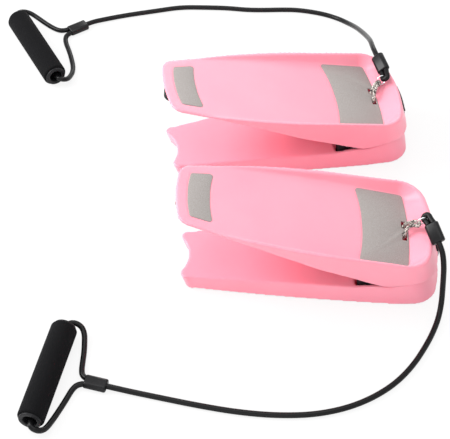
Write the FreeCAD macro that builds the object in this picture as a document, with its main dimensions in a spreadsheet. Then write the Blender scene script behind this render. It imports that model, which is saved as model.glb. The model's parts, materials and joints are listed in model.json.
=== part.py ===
import FreeCAD, Part

import Sketcher
import math
import os

# Mini stepper: two separate rocking pedals, each with a resistance cord and a pull handle.
# Each unit has its own frame: x runs from the heel end to the toe end, y across, z up from the floor.
# The assembly's origin is on the floor, under the middle foot strip of the front unit.

Vector = FreeCAD.Vector
Rotation = FreeCAD.Rotation
Placement = FreeCAD.Placement

# Every size of the two shells and their mechanism; a text that starts with = is worked out from others
sizes = {
    # where the two units stand
    "origin_from_heel": 190.0,
    "back_unit_x": -213.4,
    "back_unit_y": 218.8,
    "back_unit_yaw": 10.9,
    # base shell
    "base_length": 378.0,
    "base_ground_gap": 1.5,
    "base_blank_height": 70.0,
    "base_half_width": 72.0,
    "base_mid_inset": 12.0,
    "base_half_width_mid": "=base_half_width - base_mid_inset",
    "base_heel_inset": 27.5,
    "base_half_width_heel": "=base_half_width - base_heel_inset",
    "base_side_start": 14.0,
    "base_side_run": 78.0,
    "base_side_end": "=base_length - base_side_run",
    "base_side_middle_share": 0.4825,
    "base_side_middle": "=base_side_start + (base_side_end - base_side_start) * base_side_middle_share",
    "base_corner_run": 48.0,
    "base_corner_start": "=base_length - base_corner_run",
    "base_toe_bulge": 5.0,
    "base_toe_half_chord": 38.0,
    "base_draft_side": 2.0,
    "base_draft_toe": 20.0,
    "base_corner_run_share": 0.37,
    "base_corner_rise_share": 0.73,
    "horn_notch_depth": 12.3,
    "horn_notch_half_width": 28.5,
    "horn_notch_mouth": 3.5,
    "horn_tip_inset": 1.2,
    "horn_tip_half_width": 38.0,
    "heel_rake": 8.0,
    "horn_notch_round_share": 0.27,
    "base_wall": 4.5,
    "deck_heel_height": 26.5,
    "deck_height": 32.5,
    "deck_level_from": 150.0,
    "deck_skin": 4.0,
    "well_length": 126.0,
    "well_start": "=base_length - well_length",
    "well_floor": 6.0,
    "well_corner_round": 3.0,
    "well_corner_run_share": 0.5,
    "well_corner_rise_share": 0.68,
    "wall_rise_run": 24.0,
    "cell_rib": 5.0,
    # parting line between pedal and base on the toe side
    "parting_from_toe": 83.0,
    "parting_x": "=base_length - parting_from_toe",
    "parting_z": 35.8,
    "parting_rise_share": 0.31,
    "parting_level": 48.5,
    "parting_gap": 0.8,
    # foot strips
    "foot_width": 14.0,
    "foot_thickness": 3.0,
    "foot_heel_x": 50.0,
    "foot_toe_inset": 33.0,
    "foot_toe_x": "=base_length - foot_toe_inset",
    "foot_heel_inset": 9.0,
    "foot_heel_half": "=base_half_width_heel - foot_heel_inset",
    "foot_inset": 20.0,
    "foot_half": "=base_half_width - foot_inset",
    "foot_round": 3.0,
    # pedal tray
    "tray_tilt": 13.94,
    "tray_heel_height": 158.3,
    "tray_skin": 3.5,
    "pedal_wall": 3.2,
    "pedal_heel_x": -3.0,
    "pedal_heel_bulge": 3.5,
    "pedal_side_overhang": 8.6,
    "pedal_half_width": "=base_half_width + pedal_side_overhang",
    "pedal_mid_inset": 6.3,
    "pedal_half_width_mid": "=pedal_half_width - pedal_mid_inset",
    "pedal_heel_inset": 22.7,
    "pedal_half_width_heel": "=pedal_half_width - pedal_heel_inset",
    "pedal_heel_turn": 17.9,
    "pedal_heel_half_chord": "=pedal_half_width_heel - pedal_heel_turn",
    "pedal_corner_end": 20.0,
    "pedal_side_middle": 112.0,
    "pedal_toe_overhang": 1.5,
    "pedal_toe_x": "=base_length + pedal_toe_overhang",
    "pedal_side_run": 129.5,
    "pedal_side_end": "=pedal_toe_x - pedal_side_run",
    "pedal_corner_run": 52.5,
    "pedal_corner_start": "=pedal_toe_x - pedal_corner_run",
    "pedal_toe_bulge": 6.0,
    "pedal_toe_half_chord": 47.0,
    "pedal_corner_inset": 21.5,
    "pedal_corner_fall": 9.1,
    "pedal_corner_half_width": "=pedal_half_width - pedal_corner_fall",
    "pedal_heel_round_share": 0.33,
    "pedal_blank_above": 25.0,
    "pedal_blank_below": 56.0,
    "side_flare_share": 0.2,
    "toe_flare_share": 0.55,
    "rim_start": 57.0,
    "rim_rise_share": 0.0655,
    "dish_slope_share": 0.56,
    "dish_toe_slope_share": 1.3,
    "dish_wall_span": 10.2,
    "dish_half_width": "=pedal_half_width - dish_wall_span",
    "dish_heel_inset": 16.6,
    "dish_half_width_heel": "=pedal_half_width - dish_heel_inset",
    "dish_mid_inset": 9.6,
    "dish_half_width_mid": "=pedal_half_width - dish_mid_inset",
    "dish_middle": 190.0,
    "dish_toe_wall_span": 40.5,
    "dish_toe_x": "=pedal_toe_x - dish_toe_wall_span",
    "dish_toe_bulge": 3.0,
    "dish_corner_round": 16.0,
    # how the dish's corner moves with height, as shares of the height
    "dish_bulge_share": 0.18,
    "dish_corner_start_share": 0.35,
    "dish_corner_run_share": 0.51,
    "dish_corner_rise_share": 0.365,
    "dish_corner_end_share": 0.445,
    "heel_plate": 5.0,
    "heel_plate_end": 62.0,
    "skirt_knee_u": 122.0,
    "skirt_knee_w": 10.5,
    "skirt_mid_u": 203.0,
    "skirt_mid_w": 27.0,
    "skirt_v_round": 26.0,
    "cavity_start": 34.0,
    # grip pads on the tray
    "pad_thickness": 1.8,
    "pad_recess": 1.2,
    "pad_fit": 0.15,
    "heel_pad_start": 13.7,
    "heel_pad_end": 49.5,
    "heel_pad_bulge": 3.1,
    "heel_pad_hollow": 3.7,
    "heel_pad_side": 12.3,
    "heel_pad_half_end": "=pedal_half_width_heel - heel_pad_side",
    "heel_pad_taper": 4.0,
    "heel_pad_half_start": "=heel_pad_half_end - heel_pad_taper",
    "toe_pad_edge": 1.2,
    "toe_pad_end": "=dish_toe_x - toe_pad_edge",
    "toe_pad_length": 75.8,
    "toe_pad_start": "=toe_pad_end - toe_pad_length",
    "toe_pad_hollow": 6.7,
    "toe_pad_bulge": 4.4,
    "toe_pad_side": 0.9,
    "toe_pad_half": "=dish_half_width - toe_pad_side",
    "pad_corner_round": 5.0,
    # eye holes for the tether rope
    "eye_inset": 7.3,
    "eye_x": "=dish_toe_x - eye_inset",
    "eye_length": 7.6,
    "eye_width": 13.0,
    "eye_offset": 11.5,
    # pivot
    "axle_from_toe": 106.0,
    "axle_x": "=base_length - axle_from_toe",
    "axle_z": 42.0,
    "axle_radius": 6.0,
    "axle_chamfer": 1.0,
    "running_clearance": 0.05,
    "block_side_room": 10.5,
    "block_thickness": 11.5,
    "block_outer": "=base_half_width - block_side_room",
    "block_inner": "=block_outer - block_thickness",
    "axle_half_length": "=block_outer",
    "block_half_width": 17.0,
    "block_screw_offset": 10.0,
    "screw_radius": 2.2,
    "screw_head_radius": 4.5,
    "screw_head": 2.5,
    "screw_depth": 12.0,
    "lug_thickness": 10.0,
    "lug_side_play": 0.75,
    "lug_outer": "=block_inner - lug_side_play - clip_thickness - clip_gap - bush_flange",
    "lug_inner": "=lug_outer - lug_thickness",
    "lug_eye_radius": 13.5,
    "lug_root_half": 34.0,
    "bush_radius": 9.0,
    "bush_flange_radius": 12.0,
    "bush_flange": 1.5,
    "clip_radius": 9.5,
    "clip_thickness": 1.4,
    "clip_gap": 0.35,
    "clip_groove": 1.0,
    # return springs
    "spring_from_axle": 67.0,
    "spring_x": "=axle_x - spring_from_axle",
    "spring_y": 13.0,
    "spring_seat_drop": 11.9,
    "spring_flange": 2.5,
    "spring_flange_radius": 10.5,
    "spring_spigot": 9.0,
    "spring_spigot_radius": 6.0,
    "spring_radius": 8.6,
    "spring_wire": 3.0,
    "spring_turns": 7.0,
    "spring_close_share": 1.15,
    "spring_ramp_turns": 0.5,
    "spring_block_half": 19.0,
    "spring_block_half_span": 35.0,
    # rubber bumpers
    "heel_bumper_radius": 14.0,
    "heel_bumper_u": 12.0,
    "heel_bumper_length": 20.0,
    "heel_bumper_round": 4.0,
    "toe_bumper_half": 14.0,
    "toe_bumper_seat": 19.0,
    "toe_bumper_inner": "=base_length - toe_bumper_seat",
    "toe_bumper_height": 9.0,
    "toe_bumper_bottom": "=parting_level - toe_bumper_height",
    "toe_bumper_proud": 9.5,
    # rubber buffer on the pedal's toe wall
    "buffer_half": 20.0,
    "buffer_top": 9.0,
    "buffer_bottom": 9.0,
    "buffer_proud": 2.4,
    "buffer_sunk": 1.2,
    "rest_gap": 0.3,
    # cords, sleeves and handles
    "cord_diameter": 8.2,
    "rope_diameter": 5.4,
    "ring_radius": 8.3,
    "ring_wire": 1.8,
    "sleeve_width": 21.0,
    "sleeve_height": 11.6,
    "strap_spacing": 10.2,
    "cord_lead": 12.0,
    "grip_radius": 19.0,
    "grip_core_radius": 11.0,
    "grip_bore_radius": 4.4,
    "grip_flange_radius": 15.5,
    "grip_flange": 3.0,
    "grip_edge_round": 3.0,
}

doc = FreeCAD.newDocument("MiniStepper")
sheet = doc.addObject("Spreadsheet::Sheet", "Sizes")
for row, alias in enumerate(sizes, 1):
    sheet.set(f"A{row}", alias)
    sheet.setAlias(f"B{row}", alias)
for row, value in enumerate(sizes.values(), 1):
    sheet.set(f"B{row}", str(value))
doc.recompute()


def size(alias):
    """Value of one named size in the sheet."""
    return float(sheet.get(alias))


written = []


def keep(item):
    written.append(item)
    return item


# Part of a hollow edge's depth that it has halfway between its middle and its end
halfway_share = 0.75

# Helpers for bodies and sketches


def new_body(label):
    body = doc.addObject("PartDesign::Body", label)
    body.Label = label
    return body


def sketch_on(body, name, role, height=None):
    """Sketch on one of the body's own origin planes, raised by an expression."""
    plane = next(item for item in body.Origin.OriginFeatures if item.Role == role)
    sketch = body.newObject("Sketcher::SketchObject", f"{body.Name}_{name}")
    sketch.AttachmentSupport = [(plane, "")]
    sketch.MapMode = "FlatFace"
    if height is not None:
        sketch.setExpression(".AttachmentOffset.Base.z", height)
    return sketch


def flat(point):
    return Vector(point[0], point[1], 0)


def draw(sketch, steps):
    """Closed outline: each step is an end point, or a pair of middle and end points for an arc."""
    last = flat(steps[-1][-1] if isinstance(steps[-1][0], tuple) else steps[-1])
    for step in steps:
        if isinstance(step[0], tuple):
            middle, end = flat(step[0]), flat(step[1])
            sketch.addGeometry(Part.Arc(last, middle, end), False)
        else:
            end = flat(step)
            sketch.addGeometry(Part.LineSegment(last, end), False)
        last = end


def closed(half):
    """Whole outline from the half that runs from the heel to the toe along +y."""
    start, forward = half[0], half[1:]
    ends = [start] + [item[-1] if isinstance(item[0], tuple) else item for item in forward]
    steps = list(forward)
    for index in reversed(range(len(forward))):
        item, target = forward[index], ends[index]
        target = (target[0], -target[1])
        steps.append(((item[0][0], -item[0][1]), target) if isinstance(item[0], tuple) else target)
    return steps


def rounded_rectangle(low, high, radius):
    """Rectangle between two corners with round corners."""
    (x0, y0), (x1, y1) = low, high
    skip = radius * (1 - math.sqrt(0.5))
    return [
        (x1 - radius, y0), ((x1 - skip, y0 + skip), (x1, y0 + radius)),
        (x1, y1 - radius), ((x1 - skip, y1 - skip), (x1 - radius, y1)),
        (x0 + radius, y1), ((x0 + skip, y1 - skip), (x0, y1 - radius)),
        (x0, y0 + radius), ((x0 + skip, y0 + skip), (x0 + radius, y0)),
    ]


def circle(sketch, x, y, radius_alias):
    index = sketch.addGeometry(Part.Circle(Vector(x, y, 0), Vector(0, 0, 1), size(radius_alias)), False)
    sketch.addConstraint(Sketcher.Constraint("Radius", index, size(radius_alias)))
    sketch.setExpression(f"Constraints[{sketch.ConstraintCount - 1}]", f"Sizes.{radius_alias}")


def feature(body, kind, name, sketch, symmetric=False, through=False, **bound):
    """Pad, pocket or revolution of a sketch, with sizes bound to the sheet."""
    item = body.newObject("PartDesign::" + kind, f"{body.Name}_{name}")
    item.Profile = sketch
    if symmetric:
        item.SideType = "Symmetric"
    if through:
        item.Type = "ThroughAll"
    for key, text in bound.items():
        if key == "Reversed":
            item.Reversed = text
        else:
            item.setExpression(key, text)
    return item


def loft(body, kind, name, lower, upper):
    item = body.newObject("PartDesign::" + kind, f"{body.Name}_{name}")
    item.Profile = lower
    item.Sections = [upper]
    item.Ruled = True
    return item


def cylinder(label, radius, height, base, direction):
    """Part cylinder along a direction, its radius and height bound to the sheet."""
    item = doc.addObject("Part::Cylinder", label)
    item.setExpression("Radius", radius)
    item.setExpression("Height", height)
    item.Placement = Placement(base, Rotation(Vector(0, 0, 1), direction))
    return item


def boolean(kind, label, base, tool):
    item = doc.addObject("Part::" + kind, label)
    item.Base = base
    item.Tool = tool
    return item


def solids_feature(label, shapes):
    """Several equal pieces in one node, as separate solids."""
    item = doc.addObject("Part::Feature", label)
    item.Label = label
    item.Shape = Part.makeCompound(shapes) if len(shapes) > 1 else shapes[0]
    return item


# Outlines of the two shells


def base_outline(side, toe, heel_step):
    """Base outline, with its sides and its toe end moved out and its heel end moved towards the toe."""
    width = size("base_half_width") + side
    mouth = size("horn_notch_mouth") + heel_step
    depth = size("horn_notch_depth") + heel_step
    notch = size("horn_notch_half_width")
    bulge = size("base_toe_bulge")
    run, rise = [(width - size("base_toe_half_chord")) * size(name)
                 for name in ("base_corner_run_share", "base_corner_rise_share")]
    toe_x = size("base_length") + toe
    chord = size("base_toe_half_chord")
    side_start = size("base_side_start") + heel_step
    tip = size("horn_tip_inset") + heel_step
    heel = size("base_half_width_heel") + side
    corner = size("base_corner_start") + toe
    return [
        (depth, 0),
        ((depth - (depth - mouth) * size("horn_notch_round_share"), notch / 2), (mouth, notch)),
        ((tip, size("horn_tip_half_width")), (side_start, heel)),
        ((size("base_side_middle"), size("base_half_width_mid") + side), (size("base_side_end"), width)),
        (corner, width),
        ((toe_x - bulge - run, chord + rise), (toe_x - bulge, chord)),
        ((toe_x - bulge / 4, chord / 2), (toe_x, 0)),
    ]


def pedal_outline(side, toe):
    """Pedal outline in the tray's plane, moved out at the sides and the toe end."""
    heel_x = size("pedal_heel_x")
    bulge = size("pedal_heel_bulge")
    chord = size("pedal_heel_half_chord")
    heel = size("pedal_half_width_heel") + side
    toe_x = size("pedal_toe_x") + toe
    toe_chord = size("pedal_toe_half_chord")
    corner = size("pedal_corner_end")
    width = size("pedal_half_width") + side
    toe_side = toe_x - size("pedal_toe_bulge")
    turn = (heel - chord) * size("pedal_heel_round_share")
    return [
        (heel_x, 0),
        ((heel_x + bulge / 4, chord / 2), (heel_x + bulge, chord)),
        ((heel_x + bulge + turn, heel - turn), (corner, heel)),
        ((size("pedal_side_middle"), size("pedal_half_width_mid") + side), (size("pedal_side_end"), width)),
        (size("pedal_corner_start") + toe, width),
        ((toe_x - size("pedal_corner_inset"), size("pedal_corner_half_width") + side), (toe_side, toe_chord)),
        ((toe_x - size("pedal_toe_bulge") / 4, toe_chord / 2), (toe_x, 0)),
    ]


def to_tray(x, z):
    """Point of the unit's side view in the pedal's own frame, whose x axis lies in the tray."""
    angle = math.radians(size("tray_tilt"))
    drop = z - size("tray_heel_height")
    return (x * math.cos(angle) - drop * math.sin(angle), x * math.sin(angle) + drop * math.cos(angle))


def parting_height(x):
    """Lower edge of the pedal on the toe side of its V."""
    slope = size("parting_z") + size("parting_rise_share") * (x - size("parting_x"))
    return min(slope, size("parting_level"))


def level_start():
    """Where the parting line stops rising."""
    return size("parting_x") + (size("parting_level") - size("parting_z")) / size("parting_rise_share")


def v_lift():
    """How far the pedal's V rises above its sharp corner when it is rounded."""
    start, corner, end = skirt_corner()
    turn = (corner - start).getAngle(end - corner)
    return size("skirt_v_round") * (1 / math.cos(turn / 2) - 1)


# Sub-parts of one unit


def make_base(unit):
    body = new_body(f"{unit}_base")
    outline = sketch_on(body, "outline", "XY_Plane", "Sizes.base_ground_gap")
    draw(outline, closed(base_outline(0, 0, size("heel_rake"))))
    top = sketch_on(body, "top_outline", "XY_Plane", "Sizes.base_blank_height")
    lean = size("heel_rake") / (size("deck_heel_height") - size("base_ground_gap"))
    top_step = -lean * (size("base_blank_height") - size("deck_heel_height"))
    draw(top, closed(base_outline(-size("base_draft_side"), -size("base_draft_toe"), top_step)))
    loft(body, "AdditiveLoft", "blank", outline, top)
    over = size("base_blank_height") + size("deck_skin")
    left, right = 2 * -size("foot_width"), size("base_length") + size("foot_width")
    gap = size("parting_gap")
    lift = v_lift()
    wall_top = size("parting_z") + lift - gap
    trim = sketch_on(body, "deck_line", "XZ_Plane")
    draw(trim, [
        (left, size("deck_heel_height")),
        (size("horn_notch_depth"), size("deck_heel_height")),
        (size("deck_level_from"), size("deck_height")),
        (size("well_start"), size("deck_height")),
        (size("well_start") + size("wall_rise_run"), wall_top),
        (size("parting_x") + lift / size("parting_rise_share"), wall_top),
        (level_start(), size("parting_level") - gap),
        (right, size("parting_level") - gap),
        (right, over),
        (left, over),
    ])
    feature(body, "Pocket", "trim", trim, symmetric=True, Length="4 * Sizes.base_half_width")
    # the well under the pivot, open at the top, follows the wall
    wall = size("base_wall")
    well = sketch_on(body, "well_outline", "XY_Plane", "Sizes.base_blank_height")
    inner = size("base_half_width") - size("base_draft_side") - wall
    toe = size("base_length") - size("base_draft_toe") - wall
    start = size("well_start")
    chord = size("base_toe_half_chord")
    corner = size("well_corner_round")
    start_half = side_width(start) - size("base_draft_side") - wall
    skip = corner * (1 - math.sqrt(0.5))
    run, rise = [(inner - chord) * size(name) for name in ("well_corner_run_share", "well_corner_rise_share")]
    draw(well, closed([
        (start, 0),
        (start, start_half - corner),
        ((start + skip, start_half - skip), (start + corner, start_half)),
        (size("base_side_end"), inner),
        (size("base_corner_start") - size("base_draft_toe"), inner),
        ((toe - run, chord + rise), (toe - size("base_toe_bulge"), chord)),
        ((toe - size("base_toe_bulge") / 4, chord / 2), (toe, 0)),
    ]))
    feature(body, "Pocket", "well", well, Length="Sizes.base_blank_height - Sizes.well_floor")
    # cells under the deck leave cross walls that carry the foot strips
    half_foot = size("foot_width") / 2
    edges = [size("foot_heel_x") + half_foot, size("origin_from_heel") - half_foot]
    cells = [
        (size("horn_notch_depth") + size("heel_rake") + size("cell_rib"),
         size("foot_heel_x") - half_foot - size("cell_rib")),
        (edges[0] + size("cell_rib"), sum(edges) / 2 - size("cell_rib") / 2),
        (sum(edges) / 2 + size("cell_rib") / 2, edges[1] - size("cell_rib")),
        (edges[1] + size("foot_width") + 2 * size("cell_rib"), size("well_start") - size("cell_rib")),
    ]
    hollow = sketch_on(body, "cells", "XY_Plane", "Sizes.base_ground_gap")
    for low, high in cells:
        for side in (-1, 1):
            rib = side * size("cell_rib") / 2
            wide_low, wide_high = side * (side_width(low) - wall), side * (side_width(high) - wall)
            draw(hollow, [(low, wide_low), (low, rib), (high, rib), (high, wide_high)])
    feature(body, "Pocket", "cells", hollow, Reversed=True,
            Length="Sizes.deck_heel_height - Sizes.deck_skin - Sizes.base_ground_gap")
    # recesses for the foot strips
    recess = sketch_on(body, "foot_recesses", "XY_Plane", "Sizes.base_ground_gap")
    for x, half in foot_places():
        draw(recess, rounded_rectangle((x - half_foot, -half), (x + half_foot, half), size("foot_round")))
    feature(body, "Pocket", "foot_recesses", recess, Reversed=True,
            Length="Sizes.foot_thickness - Sizes.base_ground_gap")
    # notch for the toe bumper
    notch = sketch_on(body, "bumper_notch", "XZ_Plane")
    draw(notch, [
        (size("toe_bumper_inner"), size("toe_bumper_bottom")),
        (right, size("toe_bumper_bottom")),
        (right, over),
        (size("toe_bumper_inner"), over),
    ])
    feature(body, "Pocket", "bumper_notch", notch, symmetric=True, Length="2 * Sizes.toe_bumper_half")
    # screw holes up into the bearing blocks
    for name, radius, length in (("screw_holes", "screw_radius", "Sizes.well_floor"),
                                 ("screw_heads", "screw_head_radius", "Sizes.screw_head")):
        holes = sketch_on(body, name, "XY_Plane", "Sizes.base_ground_gap")
        for x, y in screw_places():
            circle(holes, x, y, radius)
        feature(body, "Pocket", name, holes, Reversed=True, Length=length)
    return body


def side_width(x):
    """Half width of the base's side wall at the floor, by its arc through three points."""
    arc = Part.Arc(
        Vector(size("base_side_start"), size("base_half_width_heel"), 0),
        Vector(size("base_side_middle"), size("base_half_width_mid"), 0),
        Vector(size("base_side_end"), size("base_half_width"), 0),
    )
    low, high = size("base_side_start"), size("base_side_end")
    x = min(max(x, low), high)
    circle_of_arc = arc.toShape().Curve
    centre, radius = circle_of_arc.Center, circle_of_arc.Radius
    return centre.y + math.sqrt(radius ** 2 - (x - centre.x) ** 2)


def seat_height():
    """Level underside of the pedal's spring block, below the tray over the springs."""
    tray = size("tray_heel_height") - size("spring_x") * math.tan(math.radians(size("tray_tilt")))
    return tray - size("spring_seat_drop")


def foot_places():
    return (
        (size("foot_heel_x"), size("foot_heel_half")),
        (size("origin_from_heel"), size("foot_half")),
        (size("foot_toe_x"), size("foot_half")),
    )


def screw_places():
    middle = (size("block_inner") + size("block_outer")) / 2
    offset = size("block_screw_offset")
    return [(size("axle_x") + step * offset, side * middle) for step in (-1, 1) for side in (-1, 1)]


def make_feet(unit):
    half_width = size("foot_width") / 2
    strips = []
    for number, (x, half) in enumerate(foot_places(), 1):
        body = new_body(f"{unit}_foot_{number}")
        outline = sketch_on(body, "outline", "XY_Plane")
        draw(outline, rounded_rectangle((x - half_width, -half), (x + half_width, half), size("foot_round")))
        feature(body, "Pad", "strip", outline, Length="Sizes.foot_thickness")
        strips.append(body)
    return compound(f"{unit}_base_feet", strips)


def compound(label, items):
    """Separate solids that share one node."""
    item = doc.addObject("Part::Compound", label)
    item.Links = items
    item.Label = label
    return item


def skirt_corner():
    """End of the knee, the V's sharp corner and the start of the level edge, in the pedal's frame."""
    corner = to_tray(size("parting_x"), size("parting_z"))
    level = to_tray(level_start(), size("parting_level"))
    return Vector(size("skirt_mid_u"), -size("skirt_mid_w"), 0), flat(corner), flat(level)


def skirt_line():
    """Lower edge of the pedal in its own frame, from the heel to the toe, with its V rounded."""
    start, corner, level = skirt_corner()
    into, out = (corner - start).normalize(), (level - corner).normalize()
    turn = into.getAngle(out)
    radius = size("skirt_v_round")
    tangent = radius * math.tan(turn / 2)
    near, far = corner - into * tangent, corner + out * tangent
    crown = corner + (out - into).normalize() * (radius * (1 / math.cos(turn / 2) - 1))
    toe_point = to_tray(size("pedal_toe_x") + size("pedal_blank_below"), size("parting_level"))
    return [
        (-size("pedal_blank_above"), -size("heel_plate")),
        (size("heel_plate_end"), -size("heel_plate")),
        ((size("skirt_knee_u"), -size("skirt_knee_w")), (start.x, start.y)),
        (near.x, near.y),
        ((crown.x, crown.y), (far.x, far.y)),
        (level.x, level.y),
        toe_point,
    ]


def make_pedal(unit):
    body = new_body(f"{unit}_pedal")
    above, below = size("pedal_blank_above"), size("pedal_blank_below")
    flare, toe_flare = size("side_flare_share"), size("toe_flare_share")
    lower = sketch_on(body, "lower_outline", "XY_Plane", "-Sizes.pedal_blank_below")
    draw(lower, closed(pedal_outline(-flare * below, toe_flare * below)))
    upper = sketch_on(body, "upper_outline", "XY_Plane", "Sizes.pedal_blank_above")
    draw(upper, closed(pedal_outline(flare * above, -toe_flare * above)))
    loft(body, "AdditiveLoft", "blank", lower, upper)
    # the V-shaped lower edge
    floor = -2 * below
    line = skirt_line()
    skirt = sketch_on(body, "skirt_line", "XZ_Plane")
    draw(skirt, line + [(line[-1][0], 2 * floor), (line[0][0], 2 * floor)])
    feature(body, "Pocket", "skirt", skirt, symmetric=True, Length="4 * Sizes.pedal_half_width")
    # the rim's top edge rises from the tray towards the toe
    far = size("pedal_toe_x") + above
    rise = size("rim_rise_share")
    rim = sketch_on(body, "rim_line", "XZ_Plane")
    draw(rim, [
        (-above, 0),
        (size("rim_start"), 0),
        (far, (far - size("rim_start")) * rise),
        (far, 2 * above),
        (-above, 2 * above),
    ])
    feature(body, "Pocket", "rim", rim, symmetric=True, Length="4 * Sizes.pedal_half_width")
    # the dish, with sloping walls
    dish = sketch_on(body, "dish_floor", "XY_Plane")
    draw(dish, closed(dish_outline(0)))
    mouth = sketch_on(body, "dish_mouth", "XY_Plane", "Sizes.pedal_blank_above")
    draw(mouth, closed(dish_outline(above)))
    loft(body, "SubtractiveLoft", "dish", dish, mouth)
    # the hollow underside keeps a wall and a skin
    wall = size("pedal_wall")
    roof = sketch_on(body, "cavity_roof", "XY_Plane", "-Sizes.tray_skin")
    skin = size("tray_skin")
    draw(roof, cavity_outline(-flare * skin - wall, toe_flare * skin - wall))
    mouth_depth = below + skin
    cavity_mouth = sketch_on(body, "cavity_mouth", "XY_Plane", "-Sizes.pedal_blank_below - Sizes.tray_skin")
    draw(cavity_mouth, cavity_outline(-flare * mouth_depth - wall, toe_flare * mouth_depth - wall))
    loft(body, "SubtractiveLoft", "cavity", roof, cavity_mouth)
    # two lugs carry the bushes on the axle
    pivot = to_tray(size("axle_x"), size("axle_z"))
    radius = size("lug_eye_radius")
    root = size("lug_root_half")
    lug = sketch_on(body, "lug_outline", "XZ_Plane")
    draw(lug, [
        (pivot[0] + root, -skin / 2),
        (pivot[0] - root, -skin / 2),
        (pivot[0] - radius, pivot[1]),
        ((pivot[0], pivot[1] - radius), (pivot[0] + radius, pivot[1])),
    ])
    feature(body, "Pad", "lugs", lug, symmetric=True, Length="2 * Sizes.lug_outer")
    gap = sketch_on(body, "lug_gap", "XZ_Plane")
    draw(gap, [
        (pivot[0] + 2 * root, -skin),
        (pivot[0] - root - skin, -skin),
        (pivot[0] - root - skin, floor),
        (pivot[0] + 2 * root, floor),
    ])
    feature(body, "Pocket", "lug_gap", gap, symmetric=True, Length="2 * Sizes.lug_inner")
    bore = sketch_on(body, "bush_bore", "XZ_Plane")
    circle(bore, pivot[0], pivot[1], "bush_radius")
    feature(body, "Pocket", "bush_bore", bore, symmetric=True, Length="3 * Sizes.lug_outer")
    # block that takes the return springs, level at rest
    half = size("spring_block_half")
    left, right = size("spring_x") - half, size("spring_x") + half
    seat = seat_height()
    angle = math.radians(size("tray_tilt"))
    block = sketch_on(body, "spring_block", "XZ_Plane")
    seat_left, seat_right = to_tray(left, seat), to_tray(right, seat)
    draw(block, [
        seat_left,
        seat_right,
        (seat_right[0] + (seat_right[1] + skin / 2) * -math.tan(angle), -skin / 2),
        (seat_left[0] + (seat_left[1] + skin / 2) * -math.tan(angle), -skin / 2),
    ])
    feature(body, "Pad", "spring_block", block, symmetric=True, Length="2 * Sizes.spring_block_half_span")
    # recesses for the grip pads
    recess = sketch_on(body, "pad_recesses", "XY_Plane")
    fit = size("pad_fit")
    draw(recess, closed(heel_pad_outline(fit)))
    draw(recess, closed(toe_pad_outline(fit)))
    feature(body, "Pocket", "pad_recesses", recess, Length="Sizes.pad_recess")
    # eye holes with a bridge between them
    eyes = sketch_on(body, "eye_holes", "XY_Plane")
    eye_outlines(eyes)
    feature(body, "Pocket", "eye_holes", eyes, Length="3 * Sizes.tray_skin")
    # seat of the rubber buffer on the toe wall
    buffer_loft(body, "SubtractiveLoft", size("buffer_half") + fit, size("buffer_proud") + wall, fit)
    return body


def buffer_loft(body, kind, half, proud, grow):
    """Block across the toe wall between two heights, sunk into the wall and standing proud of it."""
    chord = size("pedal_toe_half_chord")
    sketches = []
    for name, height, plane in (("buffer_low", -size("buffer_bottom") - grow, "-Sizes.buffer_bottom - {}"),
                                ("buffer_high", size("buffer_top") + grow, "Sizes.buffer_top + {}")):
        face = size("pedal_toe_x") - size("toe_flare_share") * height
        sag = size("pedal_toe_bulge") * (half / chord) ** 2
        inner, outer = face - size("buffer_sunk"), face + proud
        sketch = sketch_on(body, name, "XY_Plane", plane.format(grow))
        draw(sketch, [
            (outer - sag, -half),
            ((outer, 0), (outer - sag, half)),
            (inner - sag, half),
            ((inner, 0), (inner - sag, -half)),
        ])
        sketches.append(sketch)
    loft(body, kind, "buffer", *sketches)


def make_buffer(unit):
    body = new_body(f"{unit}_toe_buffer")
    buffer_loft(body, "AdditiveLoft", size("buffer_half"), size("buffer_proud"), 0)
    return body


def eye_outlines(sketch):
    half_long, half_wide = size("eye_length") / 2, size("eye_width") / 2
    for side in (-1, 1):
        middle = side * size("eye_offset")
        low = (size("eye_x") - half_long, middle - half_wide)
        high = (size("eye_x") + half_long, middle + half_wide)
        draw(sketch, rounded_rectangle(low, high, half_long / 3))


def dish_outline(height):
    """Tray outline at a height above the tray; the heel end runs out past the rim."""
    side = size("dish_slope_share") * height
    toe = size("dish_toe_x") + size("dish_toe_slope_share") * height
    corner = size("dish_corner_round")
    width = size("dish_half_width") + side
    clear = size("pedal_half_width") + size("pedal_blank_above")
    skip = corner * (1 - math.sqrt(0.5))
    bulge = size("dish_toe_bulge") + size("dish_bulge_share") * height
    corner_start = size("dish_toe_x") - corner - size("dish_corner_start_share") * height
    corner_middle = (size("dish_toe_x") - skip + size("dish_corner_run_share") * height,
                     size("dish_half_width") - skip + size("dish_corner_rise_share") * height)
    chord = size("dish_half_width") - corner - size("dish_corner_end_share") * height
    return [
        (-size("pedal_blank_above"), 0),
        (-size("pedal_blank_above"), clear),
        (size("rim_start"), size("dish_half_width_heel") + side),
        ((size("dish_middle"), size("dish_half_width_mid") + side), (corner_start - corner, width)),
        (corner_start, width),
        (corner_middle, (toe - bulge, chord)),
        ((toe - bulge / 4, chord / 2), (toe, 0)),
    ]


def cavity_outline(side, toe):
    """Pedal outline moved in by the wall, starting behind the solid heel plate."""
    whole = pedal_outline(side, toe)
    start = size("cavity_start")
    heel_width = whole[2][1][1] + (whole[3][0][1] - whole[2][1][1]) * start / size("pedal_side_middle")
    return closed([(start, 0), (start, heel_width)] + whole[3:])


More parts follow.
